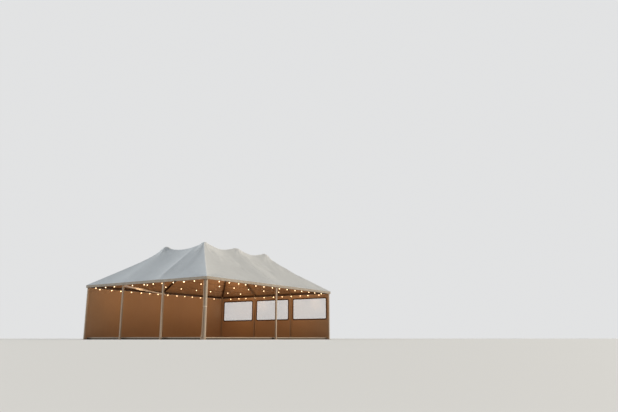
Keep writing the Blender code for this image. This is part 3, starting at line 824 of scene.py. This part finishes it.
def make_valance_tapes(edge):
    """A tape along the eave and a hem along the valance's lower edge."""
    shapes = []
    for depth, reach in VALANCE_TAPES:
        places, across, lifts = [], [], []
        for x, y, _ in edge:
            middle = valance_place(x, y, depth)
            low = valance_place(x, y, min(1.0, depth + 0.05))
            upright = (middle - low).normalized() * reach
            out = Vector((outward(x, HALF_X), outward(y, HALF_Y), 0.0))
            places.append(middle + out * 0.0003)
            across.append(upright)
            lifts.append(out * 0.0022)
        shapes.append(tape(places, across, lifts, closed=True))
    # The tapes take the valance's painted shade colour.
    return place_trim("valance_tapes", shapes, VALANCE_PAINTED_SHADE)


# Walls


WALL_THICKNESS, FILM_THICKNESS, CURTAIN_THICKNESS = 0.0015, 0.0008, 0.0014
FOLD_DEPTH = 0.016
FOLD_FADE = 0.06
FINE_FOLDS, SLANTED_FOLDS = 0.45, 0.3
WALL_COLUMNS, WALL_ROWS = 110, 44
# How far up a wall each hem runs, and half its height
HEM_LEVELS = ((0.015, 0.018), (0.985, 0.020))
HEM_BEHIND, HEM_DEPTH = 0.0025, 0.0040


def hang(along, up, seed):
    """How far a hung wall leaves its plane. Along and up run from 0 to 1 over the sheet."""
    loose = 1.0 - np.clip(up, 0.0, 1.0) ** 1.5
    edge = np.clip(np.minimum(along, 1.0 - along) / FOLD_FADE, 0.0, 1.0)
    broad = soft_noise(along, up, (7.0, 0.5), seed)
    fine = soft_noise(along, up, (19.0, 1.3), seed + 4.0)
    slanted = soft_noise(along + 0.35 * up, up, (9.0, 2.6), seed + 9.0)
    folds = broad + FINE_FOLDS * fine + SLANTED_FOLDS * slanted
    return FOLD_DEPTH * edge * (0.25 + 0.75 * loose) * folds


def hem_tape(places, reach, lift):
    """A level tape along a wall. Reach is half its height, and lift is its thickness."""
    return tape(places, [(0.0, 0.0, reach)] * len(places), [lift] * len(places))


def make_plain_wall(name, seed):
    low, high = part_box(f"plain_wall_back_{name}")
    columns, rows = WALL_COLUMNS, WALL_ROWS
    along, up = np.meshgrid(np.linspace(0.0, 1.0, columns + 1), np.linspace(0.0, 1.0, rows + 1))
    x = low.x + (high.x - low.x) * along
    z = low.z + (high.z - low.z) * up
    y = (low.y + high.y) / 2 + hang(along, up, seed)
    points = list(zip(x.ravel(), y.ravel(), z.ravel()))
    faces = [(a, d, c, b) for a, b, c, d in grid_faces(rows, columns)]
    # The wall's inner face takes the painted lamplight colour.
    cloths = [WALL_OUTSIDE, WALL_INSIDE_PAINTED_LAMPLIGHT]
    wall = place_sheet(f"hung_wall_back_{name}", (points, faces), cloths, WALL_THICKNESS)
    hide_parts(f"plain_wall_back_{name}")
    shapes = []
    for level, reach in HEM_LEVELS:
        path = np.linspace(0.001, 0.999, columns)
        level_z = low.z + (high.z - low.z) * level
        offsets = hang(path, np.full(columns, level), seed) + (low.y + high.y) / 2 - HEM_BEHIND
        places = [(low.x + (high.x - low.x) * share, offset, level_z) for share, offset in zip(path, offsets)]
        shapes.append(hem_tape(places, reach, (0.0, HEM_DEPTH, 0.0)))
    hem = place_trim(f"wall_hems_back_{name}", shapes, TAN_WEBBING)


CORNER_ROUND = 0.09
ARC_STEPS = 6
ACROSS_STEPS = 26
UP_STEPS = 14
RINGS = 14
BINDING_REACH, BINDING_INSET = 0.034, 0.006
TAPE_BEHIND, TAPE_DEPTH = 0.0035, 0.0055


def window_loops(wall_ends, pane_ends, round_by):
    """Matching points round a wall's edge and round its window with rounded corners."""
    corners = []
    for right, top, turn in ((0, 0, 1.0), (1, 0, 1.5), (1, 1, 0.0), (0, 1, 0.5)):
        corner, far = [(ends[right][0], ends[top][1]) for ends in (pane_ends, wall_ends)]
        corners.append((corner, (1 - 2 * right, 1 - 2 * top), far, turn * math.pi))
    outer, inner = [], []
    for number, (corner, inwards, far, turn) in enumerate(corners):
        centre = (corner[0] + inwards[0] * round_by, corner[1] + inwards[1] * round_by)
        for step in range(-ARC_STEPS, ARC_STEPS + 1):
            angle = turn + 0.25 * math.pi * (1.0 + step / ARC_STEPS)
            inner.append((centre[0] + round_by * math.cos(angle), centre[1] + round_by * math.sin(angle)))
            axis = 0 if (step > 0) == (number % 2 == 0) else 1
            edge = list(far)
            edge[axis] += (centre[axis] - far[axis]) * (abs(step) / ARC_STEPS)
            outer.append(tuple(edge))
        following = corners[(number + 1) % len(corners)]
        axis = number % 2
        next_centre = following[0][axis] + following[1][axis] * round_by
        steps = UP_STEPS if axis else ACROSS_STEPS
        for step in range(1, steps):
            point, edge = list(corner), list(far)
            point[axis] = edge[axis] = centre[axis] + (next_centre - centre[axis]) * (step / steps)
            inner.append(tuple(point))
            outer.append(tuple(edge))
    return outer, inner


def make_window_wall(name, seed):
    """A hung wall with a clear window, bound round its edge with brown tape."""
    low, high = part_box(f"window_wall_{name}")
    pane_low, pane_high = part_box(f"clear_pane_{name}")
    middle = (low.x + high.x) / 2
    spans = (high.y - low.y, high.z - low.z)

    def x_of(y, z):
        along = (np.asarray(y) - low.y) / spans[0]
        up = (np.asarray(z) - low.z) / spans[1]
        return middle + hang(along, up, seed) * 0.6

    def rings_between(first, second, shares):
        pairs = [(a, b, share) for share in shares for a, b in zip(first, second)]
        ys, zs = [[a[axis] + (b[axis] - a[axis]) * share for a, b, share in pairs] for axis in (0, 1)]
        return list(zip(x_of(ys, zs), ys, zs))

    ends = [[(end.y, end.z) for end in pair] for pair in ((low, high), (pane_low, pane_high))]
    outer, inner = window_loops(*ends, CORNER_ROUND)
    count = len(outer)
    shares = [ring / RINGS for ring in range(RINGS + 1)]
    shape = (rings_between(outer, inner, shares), ring_faces(RINGS, count))
    # The wall's inner face takes the painted lamplight colour.
    cloths = [WALL_OUTSIDE, WALL_INSIDE_PAINTED_LAMPLIGHT]
    wall = place_sheet(f"hung_wall_{name}", shape, cloths, WALL_THICKNESS)
    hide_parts(f"window_wall_{name}")

    places, across, lifts = [], [], []
    centre = ((pane_low.y + pane_high.y) / 2, (pane_low.z + pane_high.z) / 2)
    for index, (y, z) in enumerate(inner):
        after, before = inner[(index + 1) % count], inner[index - 1]
        tangent = Vector((after[0] - before[0], after[1] - before[1])).normalized()
        outwards = Vector((tangent.y, -tangent.x))
        if outwards.dot(Vector((y - centre[0], z - centre[1]))) < 0.0:
            outwards = -outwards
        place = Vector((y, z)) - outwards * BINDING_INSET
        places.append((float(x_of(place.x, place.y)) - TAPE_BEHIND, place.x, place.y))
        across.append((0.0, outwards.x * BINDING_REACH, outwards.y * BINDING_REACH))
        lifts.append((TAPE_DEPTH, 0.0, 0.0))
    shapes = [tape(places, across, lifts, closed=True)]
    binding = place_trim(f"window_binding_{name}", shapes, BROWN_WEBBING)
    shapes = []
    for level, reach in HEM_LEVELS:
        ys = np.linspace(low.y + 0.003, high.y - 0.003, 60)
        z = low.z + spans[1] * level
        xs = x_of(ys, np.full(len(ys), z)) - TAPE_BEHIND
        shapes.append(hem_tape([(x, y, z) for x, y in zip(xs, ys)], reach, (TAPE_DEPTH, 0.0, 0.0)))
    hem = place_trim(f"wall_hems_{name}", shapes, TAN_WEBBING)

    film_points = rings_between([centre] * count, inner, [1.0 - share for share in shares[:-1]])
    last, tip = len(film_points) - count, len(film_points)
    film_points += rings_between([centre], [centre], [0.0])
    film_faces = ring_faces(RINGS - 1, count)
    film_faces += [(last + index, last + (index + 1) % count, tip) for index in range(count)]
    shape = (film_points, film_faces)
    film = place_sheet(f"window_film_{name}", shape, [WINDOW_FILM], FILM_THICKNESS)
    film.modifiers["thickness"].material_offset = 0
    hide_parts(f"clear_pane_{name}")


# Tied-back curtain


CURTAIN_FOLDS = 16
CURTAIN_TIE_HEIGHT = 1.35
CURTAIN_WAIST = 0.042
CURTAIN_SPREAD = 0.060
CURTAIN_SPREAD_HEIGHT = 0.40
CURTAIN_FOLD_STEPS, CURTAIN_LEVELS = 12, 44
CURTAIN_TAPER, CURTAIN_TAPER_CURVE = 0.75, 0.7
TIE_SQUEEZE, TIE_SQUEEZE_REACH = 0.004, 0.06
FOLD_CUT, FOLD_CUT_CHANGE = 0.46, 0.12
TIE_STEPS = 16
TIE_SLACK = 0.002
TIE_WIDTH, TIE_THICKNESS = 0.044, 0.003


def make_curtain():
    low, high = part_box("gathered_curtain")
    centre = middle_of(low, high)
    full = (high.x - low.x) / 2
    around, levels = CURTAIN_FOLDS * CURTAIN_FOLD_STEPS, CURTAIN_LEVELS
    points = []
    for level in range(levels + 1):
        height = low.z + (high.z - low.z) * level / levels
        from_tie = abs(height - CURTAIN_TIE_HEIGHT)
        taper = min(1.0, from_tie / CURTAIN_TAPER) ** CURTAIN_TAPER_CURVE
        outer = CURTAIN_WAIST + (full - CURTAIN_WAIST) * taper
        outer -= TIE_SQUEEZE * math.exp(-((from_tie / TIE_SQUEEZE_REACH) ** 2))
        for index in range(around + 1):
            share = index / around
            fold = share * CURTAIN_FOLDS
            turn = 0.3 + share * math.tau * 0.97 + 0.05 * math.sin(height * 2.0 + share * 9.0)
            shape = 0.5 + 0.5 * math.cos(math.tau * fold + 0.5 * math.sin(height * 1.7))
            depth = FOLD_CUT + FOLD_CUT_CHANGE * noise.noise(Vector((fold * 0.9, height * 0.8, 2.0)))
            radius = outer * (1.0 - depth * (1.0 - shape))
            radius *= 0.97 + 0.06 * noise.noise(Vector((fold * 0.7, height * 1.3, 7.0)))
            spread = CURTAIN_SPREAD * max(0.0, 1.0 - (height - low.z) / CURTAIN_SPREAD_HEIGHT) ** 2
            y = centre[1] + radius * math.sin(turn) * (1.0 + spread * 6.0) + spread
            points.append((centre[0] + radius * math.cos(turn), y, height))
    shape = (points, grid_faces(levels, around))
    curtain = place_sheet("curtain_gathered", shape, [CURTAIN_PAINTED_LAMPLIGHT] * 2, CURTAIN_THICKNESS)
    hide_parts("gathered_curtain")
    tie = make_curtain_tie(centre)


def make_curtain_tie(centre):
    """A strap round the curtain's waist and the corner post."""
    half = POST_HALF + TIE_SLACK
    post_x, post_y = centre[0], -(HALF_Y - POST_FROM_EDGE)
    reach = CURTAIN_WAIST + TIE_SLACK
    loop = []
    for index in range(TIE_STEPS + 1):
        turn = math.pi * index / TIE_STEPS
        loop.append((centre[0] + reach * math.cos(turn), centre[1] + reach * math.sin(turn)))
    for x, y in ((-half, 0.0), (-half, -half), (half, -half), (half, 0.0)):
        loop.append((post_x + x, post_y + y))
    places = [(x, y, CURTAIN_TIE_HEIGHT + 0.01 * (y - post_y) / 0.1) for x, y in loop]
    middle = Vector(((centre[0] + post_x) / 2, (centre[1] + post_y) / 2))
    lifts = [Vector((x - middle.x, y - middle.y, 0.0)).normalized() * TIE_THICKNESS for x, y in loop]
    strap = tape(places, [(0.0, 0.0, TIE_WIDTH / 2)] * len(places), lifts, closed=True)
    # The strap is of the curtain cloth, in the same painted lamplight colour.
    return place_trim("curtain_tie", [strap], CURTAIN_PAINTED_LAMPLIGHT)


# Floor


BOARD_PITCH = 0.24
BOARD_GAP = 0.004
BOARD_THICKNESS = 0.022
BOARD_LENGTH = 2.4
BOARD_DROP = 0.0012
FASCIA_THICKNESS = 0.022
TRIM_HEIGHT = 0.030
BEARER_PITCH = 0.60
BEARER_WIDTH = 0.045


def edge_frame(reach, thickness, inset, low, high):
    """Four boards on edge round the deck, the short ones between the long ones."""
    boards = []
    inner = thickness + 0.0005
    for side in (-1, 1):
        ys = sorted((side * (reach.y - inset), side * (reach.y - thickness)))
        boards.append(block((inset - reach.x, ys[0], low), (reach.x - inset, ys[1], high)))
        xs = sorted((side * (reach.x - inset), side * (reach.x - thickness)))
        boards.append(block((xs[0], inner - reach.y, low), (xs[1], reach.y - inner, high)))
    return boards


def make_floor():
    low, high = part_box("floor_deck")
    boards = []
    joint = BOARD_GAP / 2
    rows = int((high.y - low.y - 2 * FASCIA_THICKNESS) / BOARD_PITCH)
    inner_y = high.y - FASCIA_THICKNESS
    pitch = 2 * inner_y / rows
    shuffle = random.Random(11)
    for row in range(rows):
        first = low.x + FASCIA_THICKNESS
        start = -inner_y + row * pitch
        length = BOARD_LENGTH * (0.5 if row % 2 else 1.0)
        while first < high.x - FASCIA_THICKNESS - 0.01:
            last = min(first + length, high.x - FASCIA_THICKNESS)
            drop = shuffle.uniform(0.0, BOARD_DROP)
            corner = (first + joint, start + joint, high.z - BOARD_THICKNESS - drop)
            boards.append(block(corner, (last - joint, start + pitch - joint, high.z - drop)))
            first, length = last, BOARD_LENGTH
    deck = place_mesh("deck_boards", joined(boards), [DECK_TIMBER])
    add_bevel(deck, 0.0025)
    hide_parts("floor_deck")

    frame_blocks = []
    bearers = int((high.x - low.x) / BEARER_PITCH)
    for index in range(bearers + 1):
        x = low.x + FASCIA_THICKNESS + BEARER_WIDTH / 2
        x += (high.x - low.x - 2 * FASCIA_THICKNESS - BEARER_WIDTH) * index / bearers
        corner = (x - BEARER_WIDTH / 2, -inner_y + 0.001, low.z)
        far_corner = (x + BEARER_WIDTH / 2, inner_y - 0.001, high.z - BOARD_THICKNESS - 0.0015)
        frame_blocks.append(block(corner, far_corner))
    add_bevel(place_mesh("deck_bearers", joined(frame_blocks), [EDGE_TIMBER]), 0.003, 1)

    split = high.z - TRIM_HEIGHT
    trim = joined(edge_frame(high, FASCIA_THICKNESS, 0.0, split, high.z))
    fascia = joined(edge_frame(high, FASCIA_THICKNESS, 0.004, low.z, split - 0.0005))
    add_bevel(place_mesh("deck_edge_trim", trim, [EDGE_METAL]), 0.002)
    add_bevel(place_mesh("deck_fascia", fascia, [EDGE_TIMBER]), 0.003)


# Fittings


WASHER_WIDTH, WASHER_HEIGHT = 1.5, 0.22
ANCHOR_OFFSET, ANCHOR_FOOT = 0.058, 0.010
ANCHOR_BOLT = (0.0095, 0.012)
JOINT_BOLT = (0.007, 0.008)
JOINT_BOLT_HEIGHTS = (2.36, 2.44)


def hexagon(centre, radius, height, axis):
    """A bolt head on a washer. It stands up along the axis from the face at centre."""
    wide, low = radius * WASHER_WIDTH, height * WASHER_HEIGHT
    shape_points, faces = turned([(wide, 0.0), (wide, low), (radius, low), (radius, height)], (0, 0, 0), 6)
    turn = Vector((0.0, 0.0, 1.0)).rotation_difference(Vector(axis))
    points = [tuple(Vector(centre) + turn @ Vector(point)) for point in shape_points]
    return points, faces


def make_fittings():
    """Anchor bolts through the foot plates, and bolts where bars are joined."""
    shapes = []
    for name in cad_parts:
        if "_post_" not in name or name.startswith("crown"):
            continue
        centre = middle_of(*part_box(name))
        for turn_x, turn_y in ((-1, -1), (-1, 1), (1, -1), (1, 1)):
            place = (centre[0] + turn_x * ANCHOR_OFFSET, centre[1] + turn_y * ANCHOR_OFFSET, ANCHOR_FOOT)
            shapes.append(hexagon(place, *ANCHOR_BOLT, (0.0, 0.0, 1.0)))
        for height in JOINT_BOLT_HEIGHTS if name.startswith("corner") else ():
            for axis in (0, 1):
                place, inwards = [*centre, height], [0.0, 0.0, 0.0]
                inwards[axis] = -math.copysign(1.0, centre[axis])
                place[axis] += inwards[axis] * POST_HALF
                shapes.append(hexagon(place, *JOINT_BOLT, inwards))
    piece = place_mesh("frame_bolts", joined(shapes), [BOLT_METAL])
    face_outwards(piece)
    add_bevel(piece, 0.0008, 1)


# Stage and light


STAGE_REACH = 400.0
STAGE_TONES = [(0.3, (0.715, 0.705, 0.685)), (0.7, (0.72, 0.71, 0.69))]
SKY_COLOUR, SKY_STRENGTH = (0.76, 0.88, 1.0, 1.0), 0.23
BACKDROP_COLOUR = (0.76, 0.765, 0.77, 1.0)
WARM_LIGHTS = ((-3.2, 31.0), (0.0, 24.0), (3.2, 35.0))


def make_stage():
    size = STAGE_REACH
    mesh = bpy.data.meshes.new("studio_floor")
    corners = [(-size, -size, 0.0), (size, -size, 0.0), (size, size, 0.0), (-size, size, 0.0)]
    mesh.from_pydata(corners, [], [(0, 1, 2, 3)])
    finish = Finish("studio_floor", 0.85, specular=0.2)
    finish.colour(finish.ramp(finish.noise(0.4, 2.0), STAGE_TONES))
    mesh.materials.append(finish.material)
    floor = add_object("studio_floor", mesh)


def make_light(kind, name, energy, colour, place, aim=None, **values):
    data = bpy.data.lights.new(name, kind)
    data.energy = energy
    data.color = colour
    for key, value in values.items():
        setattr(data, key, value)
    item = add_object(name, data)
    item.location = place
    if aim is not None:
        item.rotation_euler = (Vector(aim) - Vector(place)).to_track_quat("-Z", "Y").to_euler()


def make_lights():
    world = bpy.data.worlds.new("studio")
    world.use_nodes = True
    tree = world.node_tree
    light = tree.nodes["Background"]
    light.inputs["Color"].default_value = SKY_COLOUR
    light.inputs["Strength"].default_value = SKY_STRENGTH
    backdrop = tree.nodes.new("ShaderNodeBackground")
    backdrop.inputs["Color"].default_value = BACKDROP_COLOUR
    mix = tree.nodes.new("ShaderNodeMixShader")
    tree.links.new(tree.nodes.new("ShaderNodeLightPath").outputs["Is Camera Ray"], mix.inputs["Fac"])
    tree.links.new(light.outputs["Background"], mix.inputs[1])
    tree.links.new(backdrop.outputs["Background"], mix.inputs[2])
    tree.links.new(mix.outputs["Shader"], tree.nodes["World Output"].inputs["Surface"])
    bpy.context.scene.world = world
    make_light("SUN", "key", 3.35, (1.0, 0.90, 0.76), (23.4, -14.4, 12.0), (0.0, 0.0, 0.0), angle=0.35)
    make_light("SUN", "fill", 2.35, (0.96, 0.985, 1.0), (-9.0, 25.0, 13.4), (0.0, 0.0, 0.0), angle=0.35)
    for x, energy in WARM_LIGHTS:
        for y in (-2.0, 2.0):
            make_light("POINT", "warm", energy, (1.0, 0.60, 0.30), (x, y, 2.1), shadow_soft_size=0.35)


make_camera()
for side_name, side_sign in SIDES.items():
    make_swag(side_name, side_sign)
make_eave_lamps()
finish_solids()
make_cover()
make_crown_pads()
for wall_name, wall_seed in (("left", 1.5), ("right", 12.5)):
    make_plain_wall(wall_name, wall_seed)
for wall_name, wall_seed in (("front", 21.5), ("middle", 33.5), ("back", 45.5)):
    make_window_wall(wall_name, wall_seed)
make_curtain()
make_floor()
make_fittings()
make_stage()
make_lights()
bpy.context.scene.view_settings.view_transform = "Standard"

bpy.context.view_layer.update()
